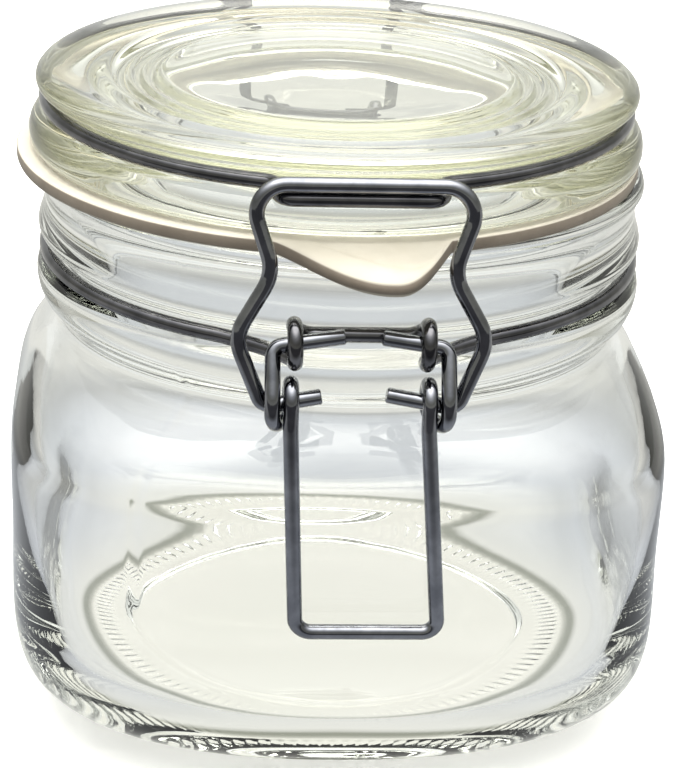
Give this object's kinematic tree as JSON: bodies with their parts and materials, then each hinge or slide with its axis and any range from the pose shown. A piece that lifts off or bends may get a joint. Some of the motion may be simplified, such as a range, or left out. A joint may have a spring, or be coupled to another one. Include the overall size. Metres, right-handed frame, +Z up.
{
  "type": "bail clamp jar",
  "caption": "Square glass storage jar with a round neck, a hinged glass lid, a rubber gasket with a pull tab, and a wire bail closed by an over-centre wire lever.",
  "frame": {"origin": "middle of the underside, at the height of the flat ring that the jar stands on", "axes": "+Z up through the lid, the clasp on the -Y side, the hinge on the +Y side, +X to the right seen from the front"},
  "size_m": [0.1044, 0.1161, 0.101],
  "materials": {
    "jar_glass": "clear pressed glass, smooth",
    "lid_glass": "clear pressed glass with a faint yellow-green edge tint",
    "gasket_rubber": "matte natural rubber, grey-beige",
    "wire_steel": "bright drawn steel wire, darkened a little"
  },
  "bodies": {
    "jar": {"jar_body": "jar_glass", "neck_ring": "wire_steel"},
    "lid": {"lid_glass": "lid_glass", "lid_ring": "wire_steel", "gasket": "gasket_rubber"},
    "lever": {"lever": "wire_steel"},
    "bail": {"bail": "wire_steel"}
  },
  "joints": [
    {"name": "lid_hinge", "type": "hinge", "parent": "jar", "child": "lid", "pos_m": [0, 0.0541, 0.0748], "axis": [-1, 0, 0], "range_deg": [0, 110]},
    {"name": "lever_hinge", "type": "hinge", "parent": "jar", "child": "lever", "pos_m": [0, -0.053, 0.0748], "axis": [-1, 0, 0], "range_deg": [0, 120]},
    {"name": "bail_hinge", "type": "hinge", "parent": "lever", "child": "bail", "pos_m": [0, -0.0543, 0.0664], "axis": [1, 0, 0], "range_deg": [0, 162]}
  ],
  "couplings": [
    {"joint": "bail_hinge", "follows": "lever_hinge", "ratio": 1.35}
  ]
}
